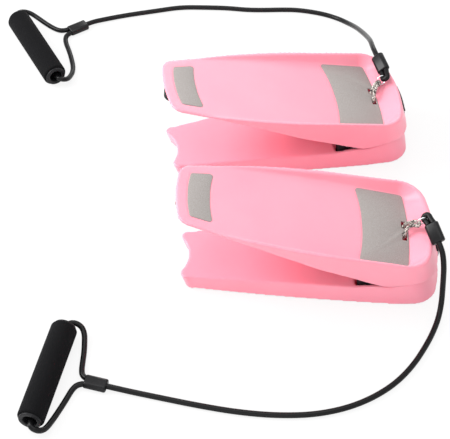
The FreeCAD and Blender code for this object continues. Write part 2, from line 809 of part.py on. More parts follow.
def heel_pad_outline(grow):
    start, end = size("heel_pad_start") - grow, size("heel_pad_end") + grow
    first, last = size("heel_pad_half_start") + grow, size("heel_pad_half_end") + grow
    bulge, hollow = size("heel_pad_bulge"), size("heel_pad_hollow")
    turn = size("pad_corner_round")
    skip = turn * (1 - math.sqrt(0.5))
    return [
        (start, 0),
        ((start + bulge / 4, first / 2), (start + bulge, first - turn)),
        ((start + bulge + skip, first - skip), (start + bulge + turn, first)),
        (end - turn, last),
        ((end - skip, last - skip), (end, last - turn)),
        ((end - hollow * halfway_share, last / 2), (end - hollow, 0)),
    ]


def toe_pad_outline(grow):
    start, end = size("toe_pad_start") - grow, size("toe_pad_end") + grow
    half = size("toe_pad_half") + grow
    hollow, bulge = size("toe_pad_hollow"), size("toe_pad_bulge")
    turn = size("pad_corner_round")
    skip = turn * (1 - math.sqrt(0.5))
    return [
        (start + hollow, 0),
        ((start + hollow * halfway_share, half / 2), (start, half - turn)),
        ((start + skip, half - skip), (start + turn, half)),
        (end - bulge - turn, half),
        ((end - bulge - skip, half - skip), (end - bulge, half - turn)),
        ((end - bulge / 4, half / 2), (end, 0)),
    ]


def make_pad(unit, name, outline, eyes=False):
    body = new_body(f"{unit}_{name}")
    sketch = sketch_on(body, "outline", "XY_Plane", "-Sizes.pad_recess")
    draw(sketch, closed(outline(0)))
    feature(body, "Pad", "sheet", sketch, Length="Sizes.pad_thickness")
    if eyes:
        holes = sketch_on(body, "eye_holes", "XY_Plane", "Sizes.pad_thickness")
        eye_outlines(holes)
        feature(body, "Pocket", "eye_holes", holes, Length="2 * Sizes.pad_thickness")
    return body


def make_axle(unit):
    """Turned shaft with chamfered ends and two grooves for the retaining clips."""
    body = new_body(f"{unit}_pivot_axle")
    radius, half, chamfer = size("axle_radius"), size("axle_half_length"), size("axle_chamfer")
    low, high = clip_place()
    core = radius - size("clip_groove")
    upper = [(radius, low), (core, low), (core, high), (radius, high),
             (radius, half - chamfer), (radius - chamfer, half), (0, half)]
    lower = [(x, -y) for x, y in reversed(upper)]
    profile = sketch_on(body, "profile", "XY_Plane")
    draw(profile, lower + upper)
    turn = body.newObject("PartDesign::Revolution", f"{body.Name}_turned")
    turn.Profile = profile
    turn.ReferenceAxis = (axis_of(body, "Y_Axis"), [""])
    return body


def axis_of(body, role):
    return next(item for item in body.Origin.OriginFeatures if item.Role == role)


def clip_place():
    """Inner and outer face of a clip, measured from the centre line."""
    low = size("lug_outer") + size("bush_flange") + size("clip_gap")
    return low, low + size("clip_thickness")


def ring_piece(label, inner, outer, height, base, direction):
    """Tube or washer from two cylinders with sizes bound to the sheet."""
    whole = cylinder(f"{label}_whole", outer, height, base, direction)
    hole = cylinder(f"{label}_hole", inner, height, base, direction)
    return boolean("Cut", label, whole, hole)


def make_clips(unit):
    low, high = clip_place()
    pieces = []
    for side in (-1, 1):
        base = Vector(0, side * low, 0)
        pieces.append(ring_piece(f"{unit}_clip_{'near' if side < 0 else 'far'}",
                                 "Sizes.axle_radius - Sizes.clip_groove", "Sizes.clip_radius",
                                 "Sizes.clip_thickness", base, Vector(0, side, 0)))
    return compound(f"{unit}_axle_clips", pieces)


def make_bushes(unit):
    """Flanged bushes in the lugs, running on the axle."""
    pieces = []
    bore = "Sizes.axle_radius + Sizes.running_clearance"
    for side in (-1, 1):
        name = f"{unit}_bush_{'near' if side < 0 else 'far'}"
        sleeve = cylinder(f"{name}_sleeve", "Sizes.bush_radius", "Sizes.lug_outer - Sizes.lug_inner",
                          Vector(0, side * size("lug_inner"), 0), Vector(0, side, 0))
        flange = cylinder(f"{name}_flange", "Sizes.bush_flange_radius", "Sizes.bush_flange",
                          Vector(0, side * size("lug_outer"), 0), Vector(0, side, 0))
        hole = cylinder(f"{name}_hole", bore, "2 * Sizes.lug_outer",
                        Vector(0, side * size("bush_flange"), 0), Vector(0, side, 0))
        pieces.append(boolean("Cut", name, boolean("Fuse", f"{name}_whole", sleeve, flange), hole))
    return compound(f"{unit}_pedal_bushes", pieces)


def make_blocks(unit):
    """Bearing blocks that stand on the well's floor and hold the axle's ends."""
    pieces = []
    for side in (-1, 1):
        body = new_body(f"{unit}_block_{'near' if side < 0 else 'far'}")
        half = size("block_half_width")
        x, z = size("axle_x"), size("axle_z")
        height = "Sizes.block_inner" if side < 0 else "-Sizes.block_outer"
        outline = sketch_on(body, "outline", "XZ_Plane", height)
        draw(outline, [(x + half, size("well_floor")), (x + half, z), ((x, z + half), (x - half, z)),
                       (x - half, size("well_floor"))])
        feature(body, "Pad", "cheek", outline, Length="Sizes.block_outer - Sizes.block_inner")
        bore = sketch_on(body, "bore", "XZ_Plane", height)
        circle(bore, x, z, "axle_radius")
        feature(body, "Pocket", "bore", bore, Reversed=True, Length="Sizes.block_outer - Sizes.block_inner")
        holes = sketch_on(body, "screw_holes", "XY_Plane", "Sizes.well_floor")
        for place_x, place_y in screw_places():
            if place_y * side > 0:
                circle(holes, place_x, place_y, "screw_radius")
        feature(body, "Pocket", "screw_holes", holes, Reversed=True, Length="Sizes.screw_depth")
        pieces.append(body)
    return compound(f"{unit}_bearing_blocks", pieces)


def make_screws(unit):
    pieces = []
    up = Vector(0, 0, 1)
    for number, (x, y) in enumerate(screw_places(), 1):
        name = f"{unit}_screw_{number}"
        base = Vector(x, y, size("base_ground_gap"))
        head = cylinder(f"{name}_head", "Sizes.screw_head_radius", "Sizes.screw_head", base, up)
        shank = cylinder(f"{name}_shank", "Sizes.screw_radius",
                         "Sizes.well_floor - Sizes.base_ground_gap + Sizes.screw_depth", base, up)
        pieces.append(boolean("Fuse", name, head, shank))
    return compound(f"{unit}_block_screws", pieces)


def make_seats(unit, name, foot, direction):
    """Flanged seats with a spigot that centres each return spring."""
    pieces = []
    for side in (-1, 1):
        label = f"{unit}_{name}_{'near' if side < 0 else 'far'}"
        base = Vector(size("spring_x"), side * size("spring_y"), foot)
        flange = cylinder(f"{label}_flange", "Sizes.spring_flange_radius", "Sizes.spring_flange", base, direction)
        spigot = cylinder(f"{label}_spigot", "Sizes.spring_spigot_radius",
                          "Sizes.spring_flange + Sizes.spring_spigot", base, direction)
        pieces.append(boolean("Fuse", label, flange, spigot))
    return compound(f"{unit}_{name}", pieces)


def biarc(start, start_way, end, end_way):
    """Two tangent arcs between two points with given directions."""
    chord = end - start
    both = start_way + end_way
    a = 2 * start_way.dot(end_way) - 2
    b = -2 * chord.dot(both)
    c = chord.dot(chord)
    reach = (-b - math.sqrt(b * b - 4 * a * c)) / (2 * a)
    first = start + start_way * reach
    second = end - end_way * reach
    middle = (first + second) * 0.5
    edges = []
    for near, corner, far in ((start, first, middle), (middle, second, end)):
        turn = (corner - near).getAngle(far - corner)
        weight = math.cos(turn / 2)
        crown = (near + corner * (2 * weight) + far) * (1 / (2 + 2 * weight))
        edges.append(Part.Arc(near, crown, far).toShape())
    return edges


def coil(foot, top):
    """One return spring: close end turns, open turns between them."""
    wire, radius, turns = size("spring_wire"), size("spring_radius"), size("spring_turns")
    rise = top - foot - wire
    close = wire * size("spring_close_share")
    ramp = size("spring_ramp_turns")
    open_turns = turns - 2 - ramp
    pitch = close + (rise - close * turns) / open_turns

    def climbed(turn):
        """Share of open pitch gained since the foot, in turns."""
        if turn <= 1:
            return 0.0
        if turn <= 1 + ramp:
            return (turn - 1) ** 2 / (2 * ramp)
        return turn - 1 - ramp / 2

    def height(turn):
        gained = climbed(turn) if turn <= turns / 2 else open_turns - climbed(turns - turn)
        return close * turn + (pitch - close) * gained

    def point(turn):
        angle = 2 * math.pi * turn
        return Vector(radius * math.cos(angle), radius * math.sin(angle), foot + wire / 2 + height(turn))

    def way(turn):
        step = 1e-5
        low, high = max(turn - step, 0), min(turn + step, turns)
        angle = 2 * math.pi * turn
        climb = (height(high) - height(low)) / (high - low)
        run = 2 * math.pi * radius
        return Vector(-run * math.sin(angle), run * math.cos(angle), climb).normalize()

    quarters = int(round(turns * 4))
    edges = []
    for index in range(quarters):
        start, end = index / 4, (index + 1) / 4
        edges += biarc(point(start), way(start), point(end), way(end))
    path = Part.Wire(edges)
    gap = min(height(turn + 1) - height(turn) for turn in [step / 20 for step in range(int((turns - 1) * 20))])
    ring = Part.Wire(Part.Circle(point(0), way(0), wire / 2).toShape())
    solid = Part.BRepOffsetAPI.MakePipeShell(path)
    solid.add(ring)
    solid.build()
    solid.makeSolid()
    return solid.shape(), gap - wire


def make_springs(unit):
    foot = size("deck_height") + size("spring_flange")
    top = seat_height() - size("spring_flange")
    shape, gap = coil(foot, top)
    print(f"{unit} spring: least gap between turns {gap:.2f} mm")
    pieces = []
    for side in (-1, 1):
        moved = shape.copy()
        moved.translate(Vector(size("spring_x"), side * size("spring_y"), 0))
        pieces.append(moved)
    return solids_feature(f"{unit}_return_springs", pieces)


def make_heel_bumper(unit):
    body = new_body(f"{unit}_heel_bumper")
    profile = sketch_on(body, "profile", "XZ_Plane")
    radius, turn, length = size("heel_bumper_radius"), size("heel_bumper_round"), size("heel_bumper_length")
    top = -size("heel_plate")
    skip = turn * (1 - math.sqrt(0.5))
    draw(profile, [(0, top), (radius, top), (radius, top - length + turn),
                   ((radius - skip, top - length + skip), (radius - turn, top - length)), (0, top - length)])
    turned = body.newObject("PartDesign::Revolution", f"{body.Name}_turned")
    turned.Profile = profile
    turned.ReferenceAxis = (axis_of(body, "Z_Axis"), [""])
    return body


def make_toe_bumper(unit):
    """Rubber rest stop in the notch of the base's toe wall, under the pedal's toe edge."""
    body = new_body(f"{unit}_toe_bumper")
    inner, bottom = size("toe_bumper_inner"), size("toe_bumper_bottom")
    drop = size("rest_gap")
    top = size("parting_level") - drop
    outer = toe_wall_x(top) + size("toe_bumper_proud")
    profile = sketch_on(body, "profile", "XZ_Plane")
    draw(profile, [(inner, bottom), (outer, bottom), (outer, top), (inner, top)])
    feature(body, "Pad", "block", profile, symmetric=True, Length="2 * Sizes.toe_bumper_half - Sizes.rest_gap")
    return body


def toe_wall_x(z):
    """Outer face of the base's toe wall at a height."""
    lean = size("base_draft_toe") / (size("base_blank_height") - size("base_ground_gap"))
    return size("base_length") - lean * (z - size("base_ground_gap"))


# Cords: straight runs joined by tangent arcs, which take this share of the shorter run
bend_share = 0.45


def tube(name, points, diameter):
    """Round tube along a route of straight runs joined by tangent arcs."""
    points = [Vector(*point) for point in points]
    edges = []
    radii = []
    last = points[0]
    for before, corner, after in zip(points, points[1:], points[2:]):
        into, out = (corner - before), (after - corner)
        turn = into.getAngle(out)
        run = min(into.Length, out.Length)
        tangent = bend_share * run
        radii.append(tangent / math.tan(turn / 2))
        near = corner - into.normalize() * tangent
        far = corner + out.normalize() * tangent
        weight = math.cos(turn / 2)
        crown = (near + corner * (2 * weight) + far) * (1 / (2 + 2 * weight))
        edges.append(Part.LineSegment(last, near).toShape())
        edges.append(Part.Arc(near, crown, far).toShape())
        last = far
    edges.append(Part.LineSegment(last, points[-1]).toShape())
    path = Part.Wire(edges)
    first = points[1] - points[0]
    ring = Part.Wire(Part.Circle(points[0], first, diameter / 2).toShape())
    pipe = Part.BRepOffsetAPI.MakePipeShell(path)
    pipe.setTransitionMode(1)
    pipe.add(ring)
    pipe.build()
    pipe.makeSolid()
    solid = pipe.shape()
    expected = math.pi * diameter ** 2 / 4 * path.Length
    print(f"{name}: length {path.Length:.0f} mm, least radius {min(radii):.1f} mm, "
          f"volume ratio {solid.Volume / expected:.4f}")
    return solid


def flat_sleeve(start, end, across):
    """Flattened sleeve between two points, wider along one direction."""
    way = (end - start).normalize()
    across = (across - way * across.dot(way)).normalize()
    height, width = size("sleeve_height"), size("sleeve_width")
    up = way.cross(across)
    reach = (width - height) / 2
    rise = height / 2
    a, b = start + across * reach + up * rise, start - across * reach + up * rise
    c, d = start - across * reach - up * rise, start + across * reach - up * rise
    edges = [
        Part.LineSegment(a, b).toShape(),
        Part.Arc(b, start - across * (reach + rise), c).toShape(),
        Part.LineSegment(c, d).toShape(),
        Part.Arc(d, start + across * (reach + rise), a).toShape(),
    ]
    return Part.Face(Part.Wire(edges)).extrude(end - start)


def unit_placement(unit):
    if unit == "front":
        return Placement(Vector(-size("origin_from_heel"), 0, 0), Rotation())
    turn = Rotation(Vector(0, 0, 1), size("back_unit_yaw"))
    return Placement(Vector(size("back_unit_x"), size("back_unit_y"), 0), turn)


def tray_placement():
    return Placement(Vector(0, 0, size("tray_heel_height")), Rotation(Vector(0, 1, 0), size("tray_tilt")))


def from_tray(x, y, z):
    """Point of the pedal's own frame in the unit's frame."""
    return tray_placement().multVec(Vector(x, y, z))


# Where each hook lies, as steps in its unit's frame: from the tray between the eye holes to the eye of the
# cord's loop, on to the sleeve's top and to its end, and the way from the eye to the tether rope
hooks = {
    "front": {
        "eye": (29.6, -2, 30.1),
        "top": (5, -9.5, -0.9),
        "end": (10, -26.5, -10.4),
        "pull": (-0.8, -0.15, -0.58),
    },
    "back": {
        "eye": (24.4, 21, 19.6),
        "top": (1.2, 11, 1.5),
        "end": (-3.5, 31.5, 3.5),
        "pull": (-0.73, -0.24, -0.64),
    },
}

# Cord routes in the assembly's frame, chosen by hand from the photographed curves
cord_routes = {
    "front": [
        (182.6, -57.5, 84.5), (184, -64, 71), (184.8, -67.5, 54), (185.4, -71, 36.5),
        (185.2, -79, 20.5), (182.5, -92, 8.5), (176, -112, 4.2), (161, -145, 4.2), (135, -188, 4.2),
        (102, -223, 4.2), (56, -251, 4.2), (4, -266, 4.2), (-51, -268.5, 4.2), (-107, -263, 4.2),
        (-162, -252, 4.2), (-212, -240, 4.2), (-250, -231, 4.6),
    ],
    "back": [
        (107, 373, 100), (106.3, 392, 92.5), (105.5, 412, 81), (103.5, 434, 68), (98, 469, 48), (92, 500, 30),
        (82, 527, 15), (67, 547, 6.5), (40, 560, 4.2), (0, 569.5, 4.2), (-50, 574.5, 4.2), (-106, 580.5, 4.2),
        (-162, 580.5, 4.2), (-217, 575.5, 4.2), (-268, 567.5, 4.2), (-311, 556.5, 4.2), (-336, 548, 4.6),
    ],
}

# Each handle: its sleeve, the grip's two end faces, and the strap from the sleeve through the grip and back
handles = {
    "front": {
        "sleeve_start": (-285, -222.5, 5.9),
        "sleeve_end": (-316, -214, 5.9),
        "grip_far": (-348.5, -129.9, 19.2),
        "grip_near": (-383.5, -290.1, 19.2),
        "strap": [
            (-321.5, -205, 5.4), (-325, -195, 4.6), (-325.2, -181, 4.2), (-324.6, -165, 4.4),
            (-325.6, -149.3, 5.8), (-326.4, -134.2, 9.6), (-331, -124.9, 13.6), (-339.6, -121.9, 17.6),
            (-347.75, -126.5, 19.2), (-384.25, -293.5, 19.2), (-378.7, -301.1, 17.6),
            (-369.7, -301.9, 13.6), (-362.2, -295.6, 9.6), (-354.5, -278, 5.4), (-346, -259, 4.2),
            (-338.5, -242, 4.2), (-332.5, -227.5, 4.5), (-325.2, -219.3, 5.4),
        ],
    },
    "back": {
        "sleeve_start": (-364.5, 532.5, 5.9),
        "sleeve_end": (-392, 514.5, 5.9),
        "grip_far": (-480.5, 531.7, 19.2),
        "grip_near": (-403.5, 386.9, 19.2),
        "strap": [
            (-402.5, 515.8, 5.4), (-414, 519.5, 4.4), (-430, 532, 4.2), (-447, 548, 5), (-462, 558, 9),
            (-474, 556.5, 14), (-482, 548, 17.8), (-483.8, 537.9, 19.2), (-401.9, 383.8, 19.2),
            (-392.8, 381.6, 17.6), (-385.3, 386.8, 13.6), (-382, 397, 9.6), (-379, 412, 5.8),
            (-379.5, 428, 4.2), (-383.5, 446, 4.2), (-389, 466, 4.2), (-395.5, 484, 4.3),
            (-398, 497, 4.8), (-395.2, 506, 5.5),
        ],
    },
}


def fold(centre, ahead, aside, radius):
    """Corners of a tight half turn round a centre, in three equal bends."""
    reach = radius / math.cos(math.pi / 6)
    corners = []
    for angle in (math.pi / 3, 0, -math.pi / 3):
        corners.append(centre + ahead * (reach * math.cos(angle)) + aside * (reach * math.sin(angle)))
    return corners


def hook_places(unit):
    """Eye of the loop and the sleeve's two ends."""
    eye = from_tray(size("eye_x"), 0, 0) + Vector(*hooks[unit]["eye"])
    top = eye + Vector(*hooks[unit]["top"])
    return eye, top, top + Vector(*hooks[unit]["end"])


def make_hook(unit):
    """Sleeve, loop of cord, ring and tether rope, all in the unit's frame."""
    eye, top, end = hook_places(unit)
    pull = Vector(*hooks[unit]["pull"]).normalize()
    back = (top - end).normalize()
    out = (eye - top).normalize()
    normal = out.cross(pull).normalize()
    across = normal.cross(out).normalize()
    half = size("strap_spacing") / 2
    diameter = size("cord_diameter")
    flat_way = (across - back * across.dot(back)).normalize()
    offset = flat_way * half
    route = [top + offset] + fold(eye, out, across, half) + [top - offset]
    loop = tube(f"{unit} cord loop", route, diameter)
    ring = size("ring_radius")
    centre = eye + pull * ring
    torus = Part.makeTorus(ring, size("ring_wire") / 2, centre, pull.cross(normal))
    far = eye + pull * 2 * ring
    rope = size("rope_diameter")
    hang = (rope + size("ring_wire")) / 2 + size("rest_gap")
    bridge = size("eye_offset") - size("eye_width") / 2
    beside = bridge + rope / 2 + size("rest_gap")
    under = -size("tray_skin") - rope / 2 - size("rest_gap")
    eye_x = size("eye_x")
    root = from_tray(eye_x, 0, rope)
    lead = far - root
    lead = (lead - normal * lead.dot(normal)).normalize()
    spread = normal.cross(lead).normalize()
    if spread.y < 0:
        spread = spread * -1
    route = [
        from_tray(eye_x, size("rest_gap"), under),
        from_tray(eye_x, beside, under),
        from_tray(eye_x, beside, rope),
        *fold(far, lead, spread, hang),
        from_tray(eye_x, -beside, rope),
        from_tray(eye_x, -beside, under),
        from_tray(eye_x, -size("rest_gap"), under),
    ]
    tether = tube(f"{unit} tether rope", route, rope)
    shapes = {
        "tether_rope": tether,
        "tether_ring": torus,
        "cord_loop": loop,
        "hook_sleeve": flat_sleeve(top, end, flat_way),
    }
    items = []
    for name, shape in shapes.items():
        items.append(solids_feature(f"{unit}_{name}", [shape]))
    return items


def make_cord(unit):
    """The long cord, the handle's sleeve and the strap that runs through the grip."""
    place = unit_placement(unit)
    handle = handles[unit]
    top, start = [place.multVec(point) for point in hook_places(unit)[1:]]
    sleeve_start, sleeve_end = Vector(*handle["sleeve_start"]), Vector(*handle["sleeve_end"])
    diameter, lead = size("cord_diameter"), size("cord_lead")
    first = start + (start - top).normalize() * lead
    last = sleeve_start + (sleeve_start - sleeve_end).normalize() * lead
    cord = tube(f"{unit} cord", [start, first] + cord_routes[unit] + [last, sleeve_start], diameter)
    across = (sleeve_end - sleeve_start).cross(Vector(0, 0, 1)).normalize() * -1
    offset = across * (size("strap_spacing") / 2)
    if offset.y < 0:
        offset = offset * -1
    route = [sleeve_end + offset] + handle["strap"] + [sleeve_end - offset]
    strap = tube(f"{unit} handle strap", route, diameter)
    sleeve = flat_sleeve(sleeve_start, sleeve_end, offset)
    return [
        solids_feature(f"{unit}_cord", [cord]),
        solids_feature(f"{unit}_handle_sleeve", [sleeve]),
        solids_feature(f"{unit}_handle_strap", [strap]),
    ]


def make_grip(unit):
    """Foam grip on a plastic core whose end flanges keep the foam in place."""
    handle = handles[unit]
    far, near = Vector(*handle["grip_far"]), Vector(*handle["grip_near"])
    length = (far - near).Length
    flange = size("grip_flange")
    bore, core, radius = size("grip_bore_radius"), size("grip_core_radius"), size("grip_radius")
    turn = size("grip_edge_round")
    skip = turn * (1 - math.sqrt(0.5))
    rim = size("grip_flange_radius")
    profiles = {
        "grip_foam": [
            (flange, core), (flange, radius - turn), ((flange + skip, radius - skip), (flange + turn, radius)),
            (length - flange - turn, radius),
            ((length - flange - skip, radius - skip), (length - flange, radius - turn)),
            (length - flange, core),
        ],
        "grip_core": [
            (0, bore), (0, rim), (flange, rim), (flange, core), (length - flange, core),
            (length - flange, rim), (length, rim), (length, bore),
        ],
    }
    items = []
    for name, outline in profiles.items():
        body = new_body(f"{unit}_{name}")
        profile = sketch_on(body, "profile", "XY_Plane")
        draw(profile, outline)
        turned = body.newObject("PartDesign::Revolution", f"{body.Name}_turned")
        turned.Profile = profile
        turned.ReferenceAxis = (axis_of(body, "X_Axis"), [""])
        body.Placement = Placement(near, Rotation(Vector(1, 0, 0), far - near))
        items.append(body)
    return items


def make_unit(unit):
    place = unit_placement(unit)
    on_tray = place.multiply(tray_placement())
    axle_line = place.multiply(Placement(Vector(size("axle_x"), 0, size("axle_z")), Rotation()))
    up, down = Vector(0, 0, 1), Vector(0, 0, -1)
    groups = [
        (place, [
            make_base(unit),
            make_feet(unit),
            make_blocks(unit),
            make_screws(unit),
            make_seats(unit, "lower_spring_seats", size("deck_height"), up),
            make_seats(unit, "upper_spring_seats", seat_height(), down),
            make_springs(unit),
            make_toe_bumper(unit),
            *make_hook(unit),
        ]),
        (on_tray, [
            make_pedal(unit),
            make_pad(unit, "heel_pad", heel_pad_outline),
            make_pad(unit, "toe_pad", toe_pad_outline, eyes=True),
            make_buffer(unit),
        ]),
        (on_tray.multiply(Placement(Vector(size("heel_bumper_u"), 0, 0), Rotation())), [make_heel_bumper(unit)]),
        (axle_line, [make_axle(unit), make_clips(unit), make_bushes(unit)]),
    ]
    for placement, items in groups:
        for item in items:
            item.Placement = placement
            keep(item)
    for item in make_cord(unit) + make_grip(unit):
        keep(item)


for unit in ("front", "back"):
    make_unit(unit)
doc.recompute()

faults = [item.Label for item in doc.Objects if "Invalid" in item.State or "Error" in item.State]
faults += [item.Label for item in written if item.Shape.isNull() or not item.Shape.isValid()]
if faults:
    raise RuntimeError("These objects did not build: " + ", ".join(faults))
os.makedirs("parts", exist_ok=True)
for item in written:
    item.Shape.exportStep(f"parts/{item.Label}.step")
print(len(written), "nodes written")
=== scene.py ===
import bpy
import bmesh
import json
import math
from mathutils import Matrix, Vector


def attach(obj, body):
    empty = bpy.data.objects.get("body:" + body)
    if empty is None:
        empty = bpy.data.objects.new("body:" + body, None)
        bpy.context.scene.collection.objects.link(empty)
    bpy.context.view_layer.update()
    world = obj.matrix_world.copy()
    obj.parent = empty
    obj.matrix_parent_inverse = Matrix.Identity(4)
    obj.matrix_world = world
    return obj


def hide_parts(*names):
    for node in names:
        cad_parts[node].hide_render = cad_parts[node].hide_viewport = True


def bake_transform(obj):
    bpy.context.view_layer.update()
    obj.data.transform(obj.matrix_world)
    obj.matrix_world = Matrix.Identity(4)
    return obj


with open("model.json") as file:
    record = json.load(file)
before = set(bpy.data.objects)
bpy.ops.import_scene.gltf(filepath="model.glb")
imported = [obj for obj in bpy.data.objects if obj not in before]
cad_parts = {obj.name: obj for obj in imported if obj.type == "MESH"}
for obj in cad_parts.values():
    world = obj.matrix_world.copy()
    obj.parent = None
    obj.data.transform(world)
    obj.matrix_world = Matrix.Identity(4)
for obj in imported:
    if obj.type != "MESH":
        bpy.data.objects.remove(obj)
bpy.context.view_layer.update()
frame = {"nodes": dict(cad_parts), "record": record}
bpy.ops.object.select_all(action='DESELECT')
nodes = frame["nodes"]
slotOf = {part["node"]: part["material_slot"] for part in frame["record"]["subparts"]}
units = ("front", "back")


# helpers: colours, node trees, objects

srgb = {"full": 255, "knee": 0.04045, "slope": 12.92, "lift": 0.055, "power": 2.4}


def hexToLinear(text):
    out = []
    for start in (0, 2, 4):
        value = int(text[start:start + 2], 16) / srgb["full"]
        if value <= srgb["knee"]:
            out.append(value / srgb["slope"])
        else:
            out.append(((value + srgb["lift"]) / (1 + srgb["lift"])) ** srgb["power"])
    return (*out, 1.0)


def addNode(tree, kind, settings=None, links=None):
    node = tree.nodes.new(kind)
    for name, value in (settings or {}).items():
        if name in node.inputs:
            node.inputs[name].default_value = value
        else:
            setattr(node, name, value)
    for name, source in (links or {}).items():
        tree.links.new(source, node.inputs[name])
    return node


def emptyTree(owner):
    owner.use_nodes = True
    owner.node_tree.nodes.clear()
    return owner.node_tree


def colourRamp(tree, source, stops):
    ramp = addNode(tree, "ShaderNodeValToRGB", links={"Fac": source})
    elements = ramp.color_ramp.elements
    while len(elements) < len(stops):
        elements.new(0.5)
    for element, (place, text) in zip(elements, stops):
        element.position = place
        element.color = hexToLinear(text)
    return ramp.outputs[0]


def addObject(name, data):
    piece = bpy.data.objects.new(name, data)
    bpy.context.scene.collection.objects.link(piece)
    return piece


def aimedFrom(place, target):
    look = Vector(target) - Vector(place)
    return Matrix.Translation(place) @ look.to_track_quat('-Z', 'Y').to_matrix().to_4x4()


# materials: one texture gives the bump and the tones, unless the tones have a texture of their own

looks = {
    # injection-moulded ABS, spark-eroded tool: even colour, broad soft highlights, a grain of about 0.6 mm
    "pink_shell": {
        "name": "pinkMouldedAbs",
        "shader": {"Roughness": 0.36, "IOR": 1.5, "Specular IOR Level": 0.35,
                   "Subsurface Weight": 0.2, "Subsurface Radius": (0.004, 0.0012, 0.0015),
                   "Subsurface Scale": 1.0, "Coat Weight": 0.06, "Coat Roughness": 0.25},
        "grain": {"Scale": 1600.0, "Detail": 2.0},
        "bump": {"Strength": 0.07, "Distance": 0.0002},
        "toneGrain": {"Scale": 8.0, "Detail": 2.0},
        "tones": [(0.3, "FF9AAD"), (0.7, "FFA0B2")],
    },
    # moulded thermoplastic elastomer sheet: matt, a sand grain of about 1 mm and a faint speckle
    "grey_tread": {
        "name": "greyMouldedElastomer",
        "shader": {"Roughness": 0.72, "IOR": 1.45},
        "grain": {"Scale": 1000.0, "Detail": 4.0},
        "bump": {"Strength": 0.3, "Distance": 0.0003},
        "tones": [(0.3, "8E8784"), (0.7, "A5A09D")],
    },
    # compression-moulded rubber: near black, dull broad sheen, a fine bloom
    "black_rubber": {
        "name": "blackMouldedRubber",
        "shader": {"Roughness": 0.55, "IOR": 1.52, "Specular IOR Level": 0.15},
        "grain": {"Scale": 600.0, "Detail": 3.0},
        "bump": {"Strength": 0.2, "Distance": 0.0003},
        "tones": [(0.3, "0E0E10"), (0.7, "161618")],
    },
    # turned mild steel: bright, with tool marks about 0.8 mm apart that blur its highlights
    "steel": {
        "name": "turnedMildSteel",
        "shader": {"Metallic": 1.0, "Roughness": 0.3},
        "grain": {"Scale": 1200.0, "Detail": 3.0},
        "bump": {"Strength": 0.12, "Distance": 0.0002},
        "tones": [(0.3, "B0B2B5"), (0.7, "C3C5C8")],
    },
    # drawn and oiled spring wire: darker and smoother than the turned parts
    "spring_steel": {
        "name": "drawnSpringWire",
        "shader": {"Metallic": 1.0, "Roughness": 0.26},
        "grain": {"Scale": 800.0, "Detail": 3.0},
        "bump": {"Strength": 0.1, "Distance": 0.0002},
        "tones": [(0.3, "7F8183"), (0.7, "96989A")],
    },
    # injection-moulded nylon: near black, satin, faint flow marks
    "black_nylon": {
        "name": "blackMouldedNylon",
        "shader": {"Roughness": 0.42, "IOR": 1.53, "Specular IOR Level": 0.15},
        "grain": {"Scale": 260.0, "Detail": 3.0},
        "bump": {"Strength": 0.08, "Distance": 0.0003},
        "tones": [(0.3, "151517"), (0.7, "1E1E21")],
    },
    # machined acetal: milky white, slightly waxy, fine turning marks
    "acetal": {
        "name": "machinedAcetal",
        "shader": {"Roughness": 0.35, "IOR": 1.48, "Subsurface Weight": 0.05},
        "grain": {"Scale": 900.0, "Detail": 2.0},
        "bump": {"Strength": 0.05, "Distance": 0.0002},
        "tones": [(0.3, "E2DFD7"), (0.7, "ECEAE3")],
    },
    # extruded latex tube, dyed black: satin, a long soft highlight, draw marks and a trace of dust
    "black_tube": {
        "name": "extrudedBlackLatex",
        "shader": {"Roughness": 0.3, "IOR": 1.52, "Specular IOR Level": 0.18},
        "grain": {"Scale": 420.0, "Detail": 3.0},
        "bump": {"Strength": 0.1, "Distance": 0.0003},
        "tones": [(0.3, "0A0A0B"), (0.7, "111113")],
    },
    # braided polyester: pale yarn with grey and black tracers, yarns of about 1 mm
    "braided_rope": {
        "name": "fleckedPolyesterBraid",
        "shader": {"Roughness": 0.75, "IOR": 1.5},
        "texture": "ShaderNodeTexVoronoi",
        "grain": {"Scale": 760.0},
        "bump": {"Strength": 0.4, "Distance": 0.0003},
        "toneFrom": "Color",
        "tones": [(0.4, "171514"), (0.5, "8F8881"), (0.64, "D9D2CA")],
    },
    # nickel-plated wire: mirror bright with hair-fine scratches
    "bright_ring": {
        "name": "nickelPlatedWire",
        "shader": {"Metallic": 1.0, "Roughness": 0.1},
        "grain": {"Scale": 1500.0, "Detail": 3.0},
        "bump": {"Strength": 0.05, "Distance": 0.0001},
        "tones": [(0.3, "DDDFE2"), (0.7, "EFF0F2")],
    },
    # cut nitrile foam: dull and soft, with cells of about 0.6 mm drawn at 1.2 mm so that they show
    "black_foam": {
        "name": "blackNitrileFoam",
        "shader": {"Roughness": 0.85, "IOR": 1.4, "Specular IOR Level": 0.12},
        "texture": "ShaderNodeTexVoronoi",
        "grain": {"Scale": 830.0},
        "bump": {"Strength": 0.45, "Distance": 0.0005},
        "toneFrom": "Distance",
        "tones": [(0.1, "09090A"), (0.8, "131315")],
    },
    # dip-moulded vinyl: a little glossier than the tube, softly uneven
    "moulded_sleeve": {
        "name": "dippedBlackVinyl",
        "shader": {"Roughness": 0.28, "IOR": 1.54, "Specular IOR Level": 0.22},
        "grain": {"Scale": 240.0, "Detail": 2.0},
        "bump": {"Strength": 0.12, "Distance": 0.0004},
        "tones": [(0.3, "0B0B0D"), (0.7, "131315")],
    },
}


